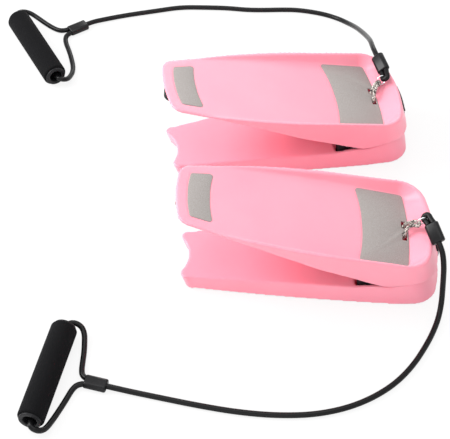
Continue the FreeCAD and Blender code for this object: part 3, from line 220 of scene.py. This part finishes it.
def buildFinish(look):
    material = bpy.data.materials.new(look["name"])
    tree = emptyTree(material)
    surface = addNode(tree, "ShaderNodeBsdfPrincipled", look["shader"])
    addNode(tree, "ShaderNodeOutputMaterial", links={"Surface": surface.outputs[0]})
    place = addNode(tree, "ShaderNodeTexCoord").outputs["Object"]
    grain = addNode(tree, look.get("texture", "ShaderNodeTexNoise"), look["grain"], {"Vector": place})
    bump = addNode(tree, "ShaderNodeBump", look["bump"], {"Height": grain.outputs[0]})
    tree.links.new(bump.outputs[0], surface.inputs["Normal"])
    source = grain.outputs[look.get("toneFrom", 0)]
    if "toneGrain" in look:
        source = addNode(tree, "ShaderNodeTexNoise", look["toneGrain"], {"Vector": place}).outputs[0]
    tree.links.new(colourRamp(tree, source, look["tones"]), surface.inputs["Base Color"])
    return material


finishes = {slotName: buildFinish(look) for slotName, look in looks.items()}
for nodeName, node in nodes.items():
    node.data.materials.clear()
    node.data.materials.append(finishes[slotOf[nodeName]])
print("materials: done")


# camera, as solved from the photograph

view = {
    "place": (-0.114940, -1.434212, 1.694370),
    "target": (-0.125154, 0.091371, 0.0),
    "lens": 120.592,
    "sensor": 36.0,
    "reach": 20.0,
}
cameraData = bpy.data.cameras.new("camera")
cameraData.lens = view["lens"]
cameraData.sensor_width = view["sensor"]
cameraData.clip_end = view["reach"]
camera = addObject("camera", cameraData)
camera.matrix_world = aimedFrom(view["place"], view["target"])
bpy.context.scene.camera = camera


# cord routes: points listed in the part's frame

cordRoutes = {
    "frontLoop": [
        (0.16311, -0.01192, 0.1054), (0.16096, -0.00713, 0.10607), (0.15647, -0.00106, 0.10564),
        (0.1588, 0.00319, 0.10898), (0.16386, 0.00225, 0.11184), (0.1671, -0.00637, 0.11001),
        (0.16995, -0.01108, 0.10978),
    ],
    "frontTether": [
        (0.13037, 0.0003, 0.07208), (0.13037, 0.008, 0.07208), (0.1326, 0.008, 0.082),
        (0.1365, 0.0068, 0.0885), (0.1422, 0.0042, 0.0936), (0.14987, -0.00112, 0.10136),
        (0.1521, -0.00502, 0.10112), (0.15048, -0.00839, 0.09861), (0.1436, -0.0009, 0.0923),
        (0.1382, 0.0014, 0.0873), (0.1338, -0.0045, 0.0844), (0.1322, -0.008, 0.0805),
        (0.13037, -0.008, 0.07208), (0.13037, -0.0003, 0.07208),
    ],
    "backLoop": [
        (0.11885, 0.31534, 0.09675), (0.11959, 0.30988, 0.09628), (0.11903, 0.30212, 0.09433),
        (0.12319, 0.2991, 0.0972), (0.12687, 0.30188, 0.10086), (0.12493, 0.31097, 0.1012),
        (0.12478, 0.31654, 0.10223),
    ],
    "backTether": [
        (0.10113, 0.27968, 0.07208), (0.09968, 0.28724, 0.07208), (0.10187, 0.28766, 0.082),
        (0.10513, 0.29399, 0.086), (0.10919, 0.30232, 0.08611), (0.11257, 0.30276, 0.08904),
        (0.11495, 0.29916, 0.0903), (0.10883, 0.29063, 0.0884), (0.10588, 0.28375, 0.0862),
        (0.10504, 0.27646, 0.0844), (0.1045, 0.27187, 0.0805), (0.1027, 0.27152, 0.07208),
        (0.10125, 0.27909, 0.07208),
    ],
    "frontCord": [
        (0.17653, -0.038, 0.09719), (0.18051, -0.04854, 0.09306), (0.1826, -0.0575, 0.0845),
        (0.184, -0.064, 0.071), (0.1848, -0.0675, 0.054), (0.1854, -0.071, 0.0365),
        (0.1852, -0.079, 0.0205), (0.1825, -0.092, 0.0085), (0.176, -0.112, 0.0042),
        (0.161, -0.145, 0.0042), (0.135, -0.188, 0.0042), (0.102, -0.223, 0.0042),
        (0.056, -0.251, 0.0042), (0.004, -0.266, 0.0042), (-0.051, -0.2685, 0.0042),
        (-0.107, -0.263, 0.0042), (-0.162, -0.252, 0.0042), (-0.212, -0.24, 0.0042),
        (-0.25, -0.231, 0.0046), (-0.27343, -0.22567, 0.0059), (-0.285, -0.2225, 0.0059),
    ],
    "backCord": [
        (0.11242, 0.34621, 0.10299), (0.10888, 0.3576, 0.10431), (0.107, 0.373, 0.1),
        (0.1063, 0.392, 0.0925), (0.1055, 0.412, 0.081), (0.1035, 0.434, 0.068),
        (0.098, 0.469, 0.048), (0.092, 0.5, 0.03), (0.082, 0.527, 0.015),
        (0.067, 0.549, 0.0065), (0.04, 0.565, 0.0042), (0, 0.5746, 0.0042),
        (-0.03, 0.5753, 0.0042), (-0.06, 0.574, 0.0042), (-0.09, 0.5742, 0.0042),
        (-0.125, 0.579, 0.0042), (-0.165, 0.5803, 0.0042), (-0.205, 0.5805, 0.0042),
        (-0.245, 0.571, 0.0042), (-0.285, 0.5619, 0.0042), (-0.311, 0.555, 0.0042),
        (-0.336, 0.5468, 0.0046), (-0.35446, 0.53907, 0.0059), (-0.3645, 0.5325, 0.0059),
    ],
    "frontStrap": [
        (-0.31465, -0.20908, 0.0059), (-0.3195, -0.2055, 0.0054), (-0.3216, -0.1955, 0.0046),
        (-0.3212, -0.181, 0.0042), (-0.3204, -0.165, 0.0044), (-0.3206, -0.1493, 0.0058),
        (-0.3214, -0.1342, 0.0096), (-0.3262, -0.1244, 0.0136), (-0.3372, -0.1206, 0.0176),
        (-0.34775, -0.1265, 0.0192), (-0.38425, -0.2935, 0.0192), (-0.3787, -0.3011, 0.0176),
        (-0.3697, -0.3019, 0.0136), (-0.3622, -0.2956, 0.0096), (-0.3545, -0.278, 0.0054),
        (-0.346, -0.259, 0.0042), (-0.3385, -0.242, 0.0042), (-0.3325, -0.2275, 0.0045),
        (-0.3252, -0.2193, 0.0054), (-0.31735, -0.21892, 0.0059),
    ],
    "backStrap": [
        (-0.39479, 0.51877, 0.0059), (-0.4025, 0.5158, 0.0054), (-0.414, 0.5195, 0.0044),
        (-0.43, 0.532, 0.0042), (-0.447, 0.548, 0.005), (-0.462, 0.558, 0.009),
        (-0.474, 0.5565, 0.014), (-0.482, 0.548, 0.0178), (-0.4838, 0.5379, 0.0192),
        (-0.4019, 0.3838, 0.0192), (-0.3928, 0.3816, 0.0176), (-0.3853, 0.3868, 0.0136),
        (-0.382, 0.397, 0.0096), (-0.379, 0.412, 0.0058), (-0.3795, 0.428, 0.0042),
        (-0.3835, 0.446, 0.0042), (-0.389, 0.466, 0.0042), (-0.3955, 0.484, 0.0043),
        (-0.398, 0.497, 0.0048), (-0.3952, 0.506, 0.0055), (-0.38921, 0.51023, 0.0059),
    ],
}


# helpers: meshes

merge = {"distance": 0.00001, "flatAngle": 1.0, "smoothAngle": 30}


def mergedCopy(name, nodeName):
    bpy.ops.object.select_all(action='DESELECT')
    piece = addObject(name, nodes[nodeName].data.copy())
    bpy.context.view_layer.objects.active = piece
    piece.select_set(True)
    bpy.ops.object.mode_set(mode='EDIT')
    bpy.ops.mesh.select_all(action='SELECT')
    bpy.ops.mesh.remove_doubles(threshold=merge["distance"])
    bpy.ops.object.mode_set(mode='OBJECT')
    return piece


def applyModifier(piece, name, kind, settings):
    modifier = piece.modifiers.new(name, kind)
    for key, value in settings.items():
        setattr(modifier, key, value)
    bpy.context.view_layer.objects.active = piece
    bpy.ops.object.modifier_apply(modifier=name)


def roundEdges(piece, edge):
    applyModifier(piece, "edges", 'BEVEL', {
        "width": edge["width"], "segments": edge["segments"],
        "limit_method": 'ANGLE', "angle_limit": math.radians(edge["angle"])})
    bpy.ops.object.shade_smooth_by_angle(angle=math.radians(merge["smoothAngle"]))


def joinPieces(pieces, name):
    bpy.ops.object.select_all(action='DESELECT')
    for piece in pieces:
        piece.select_set(True)
    bpy.context.view_layer.objects.active = pieces[0]
    bpy.ops.object.join()
    pieces[0].name = name
    return pieces[0]


def standFor(piece, nodeName, body):
    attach(piece, body)
    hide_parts(nodeName)
    piece.data.materials.clear()
    piece.data.materials.append(finishes[slotOf[nodeName]])


# shells, whose moulded edges are soft all round

shell = {"cell": 0.0015, "rounds": 12, "pull": 0.5, "keep": 0.5}


def softShell(name, nodeName, body):
    piece = mergedCopy(name, nodeName)
    applyModifier(piece, "skin", 'REMESH', {"mode": 'VOXEL', "voxel_size": shell["cell"]})
    applyModifier(piece, "soften", 'SMOOTH', {"factor": shell["pull"], "iterations": shell["rounds"]})
    applyModifier(piece, "thin", 'DECIMATE', {"ratio": shell["keep"]})
    bpy.ops.object.shade_smooth()
    standFor(piece, nodeName, body)


for unit in units:
    softShell(unit + "PedalShell", unit + "_pedal", unit + "_pedal")
    softShell(unit + "BaseShell", unit + "_base", "stand")
print("shells: done")


# where each unit stands

standOf = {
    "front": Matrix.Translation((-0.19, 0.0, 0.0)),
    "back": Matrix.Translation((-0.2134, 0.2188, 0.0)) @ Matrix.Rotation(math.radians(10.9), 4, 'Z'),
}


# moulded pieces with rounded edges; the toe bumper's end, past the limit, is moved back

moulded = {
    "hook_sleeve": {"width": 0.0022, "body": "pedal"},
    "handle_sleeve": {"width": 0.0022, "body": "stand"},
    "heel_pad": {"width": 0.0007, "body": "pedal"},
    "toe_pad": {"width": 0.0007, "body": "pedal"},
    "base_feet": {"width": 0.0008, "body": "stand"},
    "toe_bumper": {"width": 0.0015, "body": "stand", "trim": {"limit": 0.384, "shift": -0.0055}},
    "toe_buffer": {"width": 0.001, "body": "pedal"},
    "bearing_blocks": {"width": 0.001, "body": "stand"},
}
mouldedEdge = {"segments": 3, "angle": 35}


def trimEnd(piece, placing, trim):
    mesh = bmesh.from_edit_mesh(piece.data)
    for vertex in mesh.verts:
        vertex.select = (placing.inverted() @ vertex.co).x > trim["limit"]
    mesh.select_flush_mode()
    bmesh.update_edit_mesh(piece.data)
    bpy.ops.transform.translate(value=placing.to_3x3().col[0] * trim["shift"])


for unit in units:
    for part, shape in moulded.items():
        nodeName = f"{unit}_{part}"
        piece = mergedCopy(unit + part.title().replace("_", ""), nodeName)
        bpy.ops.object.mode_set(mode='EDIT')
        bpy.ops.mesh.select_all(action='SELECT')
        bpy.ops.mesh.dissolve_limited(angle_limit=math.radians(merge["flatAngle"]))
        if "trim" in shape:
            trimEnd(piece, standOf[unit], shape["trim"])
        bpy.ops.object.mode_set(mode='OBJECT')
        roundEdges(piece, {"width": shape["width"], **mouldedEdge})
        standFor(piece, nodeName, "stand" if shape["body"] == "stand" else unit + "_pedal")


# heel bumpers: moulded rubber stops under the pedal's heel, tapered as they leave the mould

stop = {
    "top": 0.0138, "bottom": 0.0105, "long": 0.02, "sides": 64,
    "place": (0.00803, 0.0, 0.14085), "lean": 13.94,
    "edge": {"width": 0.0025, "segments": 5, "angle": 40},
}
for unit in units:
    placing = (standOf[unit] @ Matrix.Translation(stop["place"])
               @ Matrix.Rotation(math.radians(stop["lean"]), 4, 'Y'))
    bpy.ops.object.select_all(action='DESELECT')
    bpy.ops.mesh.primitive_cone_add(
        vertices=stop["sides"], radius1=stop["bottom"], radius2=stop["top"], depth=stop["long"],
        location=placing.translation, rotation=placing.to_euler())
    bumper = bpy.context.active_object
    bumper.name = unit + "HeelBumper"
    bpy.ops.object.transform_apply(location=True, rotation=True, scale=True)
    roundEdges(bumper, stop["edge"])
    standFor(bumper, unit + "_heel_bumper", unit + "_pedal")
print("moulded pieces: done")


# cords, straps, loops and tether ropes; lengths in shares follow the rope's diameter

tube = {"diameter": 0.0082, "sides": 20, "fineness": 10, "leastRun": 1e-9}
braid = {
    "diameter": 0.0054, "coreShare": 0.28, "strandShare": 0.21,
    "strands": 4, "corners": 6, "flat": 1.25, "weave": 0.3,
    "lay": 0.016, "step": 0.0009,
}


def routeCurve(name, points):
    curve = bpy.data.curves.new(name, 'CURVE')
    curve.dimensions = '3D'
    curve.resolution_u = tube["fineness"]
    spline = curve.splines.new('NURBS')
    spline.points.add(len(points) - 1)
    for point, place in zip(spline.points, points):
        point.co = (*place, 1.0)
    spline.order_u = 3
    spline.use_endpoint_u = True
    return addObject(name, curve)


def centreLine(curve):
    flat = bpy.data.meshes.new_from_object(curve)
    line = [vertex.co.copy() for vertex in flat.vertices]
    bpy.data.meshes.remove(flat)
    return line


def lineLength(line):
    return sum((after - before).length for before, after in zip(line, line[1:]))


def linkMesh(name, mesh, slotName):
    mesh.polygons.foreach_set("use_smooth", [True] * len(mesh.polygons))
    mesh.materials.clear()
    mesh.materials.append(finishes[slotName])
    return addObject(name, mesh)


def roundTube(name, points, diameter, slotName):
    curve = routeCurve(name + "Line", points)
    line = centreLine(curve)
    curve.data.bevel_depth = diameter / 2
    curve.data.bevel_resolution = tube["sides"] // 4
    curve.data.use_fill_caps = True
    mesh = bpy.data.meshes.new_from_object(curve)
    bpy.data.objects.remove(curve)
    return linkMesh(name, mesh, slotName), line


def evenSteps(line, step):
    total = lineLength(line)
    count = max(2, round(total / step))
    out, index, gone = [], 0, 0.0
    for number in range(count + 1):
        wanted = total * number / count
        while index < len(line) - 2 and gone + (line[index + 1] - line[index]).length < wanted:
            gone += (line[index + 1] - line[index]).length
            index += 1
        run = line[index + 1] - line[index]
        out.append(line[index] + run * min(1.0, (wanted - gone) / max(run.length, tube["leastRun"])))
    return out


def ropeFrames(line):
    # place, two directions across the rope, its own direction and the length gone, at each step
    steps = evenSteps(line, braid["step"])
    across = Vector((0.0, 0.0, 1.0))
    frames, gone = [], 0.0
    for index, place in enumerate(steps):
        way = (steps[min(index + 1, len(steps) - 1)] - steps[max(index - 1, 0)]).normalized()
        across = (across - way * across.dot(way)).normalized()
        frames.append((place, across, way.cross(across), way, gone))
        gone += braid["step"]
    return frames


def braidedRope(name, points):
    # strands wind both ways round the route's own spline and swap over and under as they meet
    curve = routeCurve(name + "Line", points)
    frames = ropeFrames(centreLine(curve))
    bpy.data.objects.remove(curve)
    core = braid["diameter"] * braid["coreShare"]
    thick = braid["diameter"] * braid["strandShare"]
    strands, corners = braid["strands"], braid["corners"]
    mesh = bmesh.new()
    for turning in (1, -1):
        for strand in range(strands):
            lastRing = None
            for place, side, up, way, gone in frames:
                angle = turning * 2 * math.pi * gone / braid["lay"] + 2 * math.pi * strand / strands
                crossing = math.cos(2 * strands * math.pi * gone / braid["lay"] * 2)
                outward = side * math.cos(angle) + up * math.sin(angle)
                middle = place + outward * core * (1 + braid["weave"] * turning * crossing)
                around = way.cross(outward)
                ring = []
                for corner in range(corners):
                    turn = 2 * math.pi * corner / corners
                    ring.append(mesh.verts.new(middle + outward * thick * math.cos(turn)
                                               + around * thick * braid["flat"] * math.sin(turn)))
                if lastRing:
                    for corner in range(corners):
                        following = (corner + 1) % corners
                        mesh.faces.new((lastRing[corner], lastRing[following], ring[following], ring[corner]))
                else:
                    mesh.faces.new(ring)
                lastRing = ring
            mesh.faces.new(lastRing[::-1])
    bmesh.ops.recalc_face_normals(mesh, faces=mesh.faces)
    data = bpy.data.meshes.new(name)
    mesh.to_mesh(data)
    mesh.free()
    return linkMesh(name, data, "braided_rope")


for unit in units:
    cord, line = roundTube(unit + "Cord", cordRoutes[unit + "Cord"], tube["diameter"], "black_tube")
    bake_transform(cord)
    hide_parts(unit + "_cord")
    strap, line = roundTube(unit + "Strap", cordRoutes[unit + "Strap"], tube["diameter"], "black_tube")
    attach(strap, "stand")
    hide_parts(unit + "_handle_strap")
    loop = roundTube(unit + "Loop", cordRoutes[unit + "Loop"], tube["diameter"], "black_tube")[0]
    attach(loop, unit + "_pedal")
    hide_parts(unit + "_cord_loop")
    tether = braidedRope(unit + "Tether", cordRoutes[unit + "Tether"])
    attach(tether, unit + "_pedal")
    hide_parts(unit + "_tether_rope")
print("cords: done")


# foam grips on plastic cores, each core a tube with a lip at both ends

grip = {
    "front": {"far": (-0.3485, -0.1299, 0.0192), "near": (-0.3835, -0.2901, 0.0192)},
    "back": {"far": (-0.4805, 0.5317, 0.0192), "near": (-0.4035, 0.3869, 0.0192)},
    "sides": 64, "flange": 0.003,
    "foam": {"radius": 0.019, "wall": 0.008, "edge": {"width": 0.003, "segments": 5, "angle": 40}},
    "tube": {"radius": 0.0112, "wall": 0.0012, "edge": {"width": 0.0006, "segments": 4, "angle": 40}},
    "lip": {"radius": 0.0161, "wall": 0.0056, "edge": {"width": 0.0006, "segments": 4, "angle": 40}},
}


def hollowTube(shape, long, middle, turn):
    bpy.ops.mesh.primitive_cylinder_add(
        vertices=grip["sides"], radius=shape["radius"], depth=long, end_fill_type='NOTHING',
        location=middle, rotation=turn)
    piece = bpy.context.active_object
    bpy.ops.object.transform_apply(location=True, rotation=True, scale=True)
    applyModifier(piece, "wall", 'SOLIDIFY', {"thickness": shape["wall"], "offset": -1.0})
    roundEdges(piece, shape["edge"])
    return piece


for unit in units:
    far, near = Vector(grip[unit]["far"]), Vector(grip[unit]["near"])
    way, middle = far - near, (far + near) / 2
    turn = way.to_track_quat('Z', 'Y').to_euler()
    bpy.ops.object.select_all(action='DESELECT')
    foam = hollowTube(grip["foam"], way.length - 2 * grip["flange"], middle, turn)
    foam.name = unit + "GripFoam"
    standFor(foam, unit + "_grip_foam", unit + "_grip")
    toLip = way.normalized() * (way.length - grip["flange"]) / 2
    core = joinPieces([
        hollowTube(grip["tube"], way.length - 2 * grip["tube"]["edge"]["width"], middle, turn),
        hollowTube(grip["lip"], grip["flange"], middle + toLip, turn),
        hollowTube(grip["lip"], grip["flange"], middle - toLip, turn),
    ], unit + "GripCore")
    standFor(core, unit + "_grip_core", unit + "_grip")
print("grips: done")


# return springs: closed first and last turns, open ones between

spring = {
    "x": 0.205, "y": 0.013, "foot": 0.035, "top": 0.093, "radius": 0.0086, "wire": 0.003,
    "turns": 7.0, "closedRise": 1.15, "pointsPerTurn": 16,
}


def coilPoints(centreX, centreY):
    turns = spring["turns"]
    low = spring["foot"] + spring["wire"] / 2
    rise = spring["top"] - spring["foot"] - spring["wire"]
    close = spring["wire"] * spring["closedRise"]
    points = []
    count = int(turns * spring["pointsPerTurn"])
    for index in range(count + 1):
        turn = turns * index / count
        closed = min(turn, 1.0) + max(0.0, turn - turns + 1.0)
        openTurns = turn - closed
        height = close * closed + (rise - 2 * close) * openTurns / (turns - 2)
        angle = 2 * math.pi * turn
        points.append((centreX + spring["radius"] * math.cos(angle),
                       centreY + spring["radius"] * math.sin(angle), low + height))
    return points


for unit in units:
    placing = standOf[unit]
    coils = []
    for side in (-1, 1):
        points = coilPoints(spring["x"], side * spring["y"])
        coil = roundTube(f"{unit}Coil{side}", points, spring["wire"], "spring_steel")[0]
        coil.data.transform(placing)
        coils.append(coil)
    pair = joinPieces(coils, unit + "Springs")
    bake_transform(pair)
    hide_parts(unit + "_return_springs")
print("springs: done")


# floor, backdrop and light: the camera sees both as white, and they light the object more softly

white = (1.0, 1.0, 1.0, 1.0)
ground = {"matt": (0.9, 0.9, 0.9, 1.0), "glow": 1.0, "glowShare": 0.85, "size": 12.0, "drop": 0.0002}
sky = {"light": 0.75, "seen": 1.0}

floorMaterial = bpy.data.materials.new("paleFloor")
tree = emptyTree(floorMaterial)
matt = addNode(tree, "ShaderNodeBsdfDiffuse", {"Color": ground["matt"]})
glow = addNode(tree, "ShaderNodeEmission", {"Color": white, "Strength": ground["glow"]})
path = addNode(tree, "ShaderNodeLightPath")
share = addNode(tree, "ShaderNodeMath", {"operation": 'MULTIPLY'}, {0: path.outputs["Is Camera Ray"]})
share.inputs[1].default_value = ground["glowShare"]
mix = addNode(tree, "ShaderNodeMixShader",
              links={0: share.outputs[0], 1: matt.outputs[0], 2: glow.outputs[0]})
addNode(tree, "ShaderNodeOutputMaterial", links={"Surface": mix.outputs[0]})
bpy.ops.mesh.primitive_plane_add(size=ground["size"], location=(0, 0, -ground["drop"]))
floor = bpy.context.active_object
floor.name = "floor"
floor.data.materials.append(floorMaterial)

world = bpy.data.worlds.new("studio")
bpy.context.scene.world = world
tree = emptyTree(world)
path = addNode(tree, "ShaderNodeLightPath")
seen = addNode(tree, "ShaderNodeMath", {"operation": 'MAXIMUM'},
               {0: path.outputs["Is Camera Ray"], 1: path.outputs["Is Glossy Ray"]})
seen = addNode(tree, "ShaderNodeMath", {"operation": 'MAXIMUM'},
               {0: seen.outputs[0], 1: path.outputs["Is Transmission Ray"]})
dim = addNode(tree, "ShaderNodeBackground", {"Color": white, "Strength": sky["light"]})
bright = addNode(tree, "ShaderNodeBackground", {"Color": white, "Strength": sky["seen"]})
mix = addNode(tree, "ShaderNodeMixShader",
              links={0: seen.outputs[0], 1: dim.outputs[0], 2: bright.outputs[0]})
addNode(tree, "ShaderNodeOutputWorld", links={"Surface": mix.outputs[0]})

lamps = {
    "overhead": {"place": (-0.2, 0.1, 1.9), "aim": (-0.1, 0.1, 0.0), "size": 1.6, "watts": 12.0},
    "front": {"place": (-0.4, -2.0, 0.9), "aim": (-0.1, 0.05, 0.03), "size": 1.4, "watts": 6.0},
    "heel": {"place": (-1.85, 0.45, 1.25), "aim": (-0.15, 0.1, 0.03), "size": 1.3, "watts": 46.0},
    "rim": {"place": (0.1, 2.3, 1.1), "aim": (-0.1, 0.1, 0.05), "size": 0.8, "watts": 9.0},
}
for name, lamp in lamps.items():
    data = bpy.data.lights.new(name, 'AREA')
    data.size = lamp["size"]
    data.energy = lamp["watts"]
    addObject(name, data).matrix_world = aimedFrom(lamp["place"], lamp["aim"])
bpy.context.scene.view_settings.view_transform = 'Standard'
print("stage: done")
